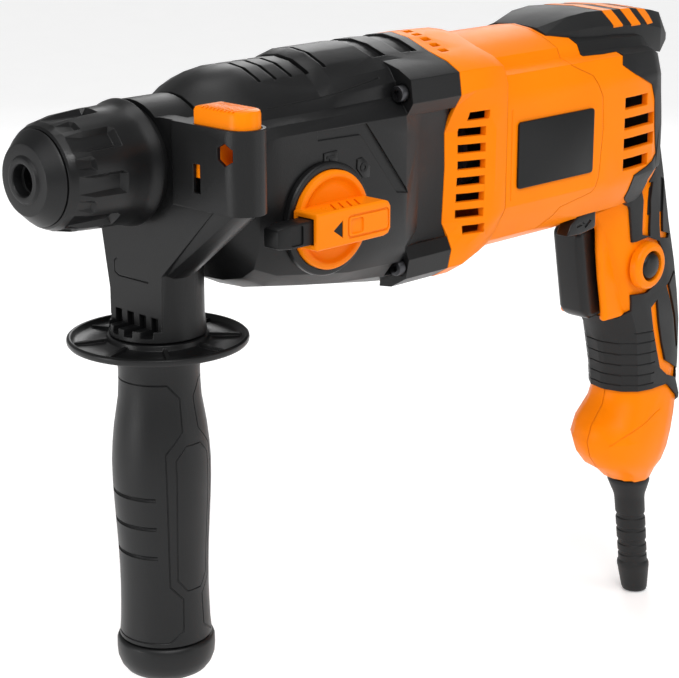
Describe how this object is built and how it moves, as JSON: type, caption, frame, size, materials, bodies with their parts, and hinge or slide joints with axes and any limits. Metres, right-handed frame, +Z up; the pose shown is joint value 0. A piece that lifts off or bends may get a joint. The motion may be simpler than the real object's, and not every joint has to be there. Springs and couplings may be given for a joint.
{
  "type": "rotary hammer",
  "caption": "Corded rotary hammer with a quick-release tool holder, side mode dial, pistol handle and clamp-on side handle with depth-rod boss.",
  "frame": {"origin": "on the spindle axis, at the front face of the impact bolt where a seated tool shank ends", "axes": "+X from the nose towards the rear handle, +Z up, the mode dial on the -Y side"},
  "size_m": [0.3839, 0.0988, 0.3],
  "materials": {
    "black_nylon": "fine-textured black moulded nylon",
    "orange_nylon": "satin orange moulded nylon",
    "black_rubber": "matt soft overmould",
    "gloss_black": "gloss black plate",
    "steel": "ground steel",
    "dark_steel": "dark oxide steel",
    "aluminium": "machined die casting",
    "copper": "bright copper alloy",
    "carbon": "matt dark moulding"
  },
  "bodies": {
    "housing": {"gear_housing": "black_nylon", "vent_ring": "orange_nylon", "motor_housing": "orange_nylon", "label_plate": "gloss_black", "handle_shell_left": "orange_nylon", "handle_shell_right": "orange_nylon", "top_pad": "black_rubber", "grip_cover": "black_rubber", "cord_boot": "black_rubber", "dial_base": "black_nylon", "lock_button_ring": "orange_nylon", "inner_flange": "aluminium", "stator": "dark_steel", "front_bearing": "steel", "rear_bearing": "steel", "brush_left": "carbon", "brush_right": "carbon", "brush_holder_left": "copper", "brush_holder_right": "copper", "switch_module": "carbon", "wobble_bearing": "dark_steel", "housing_screw_upper_left": "dark_steel", "housing_screw_upper_right": "dark_steel", "housing_screw_lower_left": "dark_steel", "housing_screw_lower_right": "dark_steel"},
    "spindle": {"tool_holder": "steel", "dust_cap": "black_rubber", "spindle_gear": "dark_steel", "locking_ball_upper": "dark_steel", "locking_ball_lower": "dark_steel", "sleeve_spring": "dark_steel"},
    "sleeve": {"locking_sleeve": "black_nylon"},
    "bolt": {"impact_bolt": "steel"},
    "ram": {"striker": "steel"},
    "drive_piston": {"piston": "aluminium"},
    "counter": {"counter_shaft": "steel", "counter_gear": "dark_steel"},
    "armature": {"armature_shaft": "steel", "armature_core": "dark_steel", "commutator": "copper", "cooling_fan": "carbon"},
    "dial": {"mode_dial": "orange_nylon"},
    "dial_release": {"dial_button": "black_nylon"},
    "side_handle": {"side_bracket": "black_nylon"},
    "rod_release": {"depth_button": "orange_nylon"},
    "handle_grip": {"hand_guard": "black_nylon", "side_grip": "black_rubber", "grip_end_cap": "black_nylon", "clamp_bolt": "dark_steel"},
    "switch_trigger": {"trigger": "black_nylon"},
    "reverser": {"direction_lever": "black_nylon"},
    "lock_on": {"lock_button": "black_nylon"}
  },
  "joints": [
    {"name": "armature_spin", "type": "hinge", "parent": "housing", "child": "armature", "pos_m": [0, 0, -0.0165], "axis": [1, 0, 0], "continuous": true},
    {"name": "counter_spin", "type": "hinge", "parent": "housing", "child": "counter", "pos_m": [0, 0, -0.0362], "axis": [1, 0, 0], "continuous": true},
    {"name": "spindle_spin", "type": "hinge", "parent": "housing", "child": "spindle", "pos_m": [0, 0, 0], "axis": [1, 0, 0], "continuous": true},
    {"name": "sleeve_pull", "type": "slide", "parent": "spindle", "child": "sleeve", "axis": [1, 0, 0], "range_m": [0, 0.0037], "stiffness_N_per_m": 1500},
    {"name": "bolt_travel", "type": "slide", "parent": "spindle", "child": "bolt", "axis": [1, 0, 0], "range_m": [0, 0.003]},
    {"name": "striker_travel", "type": "slide", "parent": "spindle", "child": "ram", "axis": [-1, 0, 0], "range_m": [0, 0.003]},
    {"name": "piston_stroke", "type": "slide", "parent": "housing", "child": "drive_piston", "axis": [-1, 0, 0], "range_m": [0, 0.005]},
    {"name": "mode_turn", "type": "hinge", "parent": "housing", "child": "dial", "pos_m": [0.065, -0.04, -0.0255], "axis": [0, -1, 0], "range_deg": [-90, 90]},
    {"name": "dial_button_press", "type": "slide", "parent": "dial", "child": "dial_release", "axis": [1, 0, 0], "range_m": [0, 0.0025], "stiffness_N_per_m": 500},
    {"name": "side_handle_swing", "type": "hinge", "parent": "housing", "child": "side_handle", "pos_m": [0.013, 0, 0], "axis": [1, 0, 0], "range_deg": [-180, 180]},
    {"name": "grip_twist", "type": "hinge", "parent": "side_handle", "child": "handle_grip", "pos_m": [0.013, 0, -0.1], "axis": [0, 0, 1], "range_deg": [-180, 180]},
    {"name": "depth_button_press", "type": "slide", "parent": "side_handle", "child": "rod_release", "axis": [0, 0, -1], "range_m": [0, 0.004], "stiffness_N_per_m": 900},
    {"name": "trigger_pull", "type": "slide", "parent": "housing", "child": "switch_trigger", "axis": [1, 0, 0], "range_m": [0, 0.006], "stiffness_N_per_m": 900},
    {"name": "reverser_turn", "type": "hinge", "parent": "housing", "child": "reverser", "pos_m": [0.2435, 0, -0.058], "axis": [0, 0, 1], "range_deg": [-8, 8]},
    {"name": "lock_press", "type": "slide", "parent": "housing", "child": "lock_on", "axis": [0, 1, 0], "range_m": [0, 0.003], "stiffness_N_per_m": 700}
  ],
  "couplings": [
    {"joint": "counter_spin", "follows": "armature_spin", "ratio": -0.27778},
    {"joint": "spindle_spin", "follows": "armature_spin", "ratio": 0.10417}
  ]
}
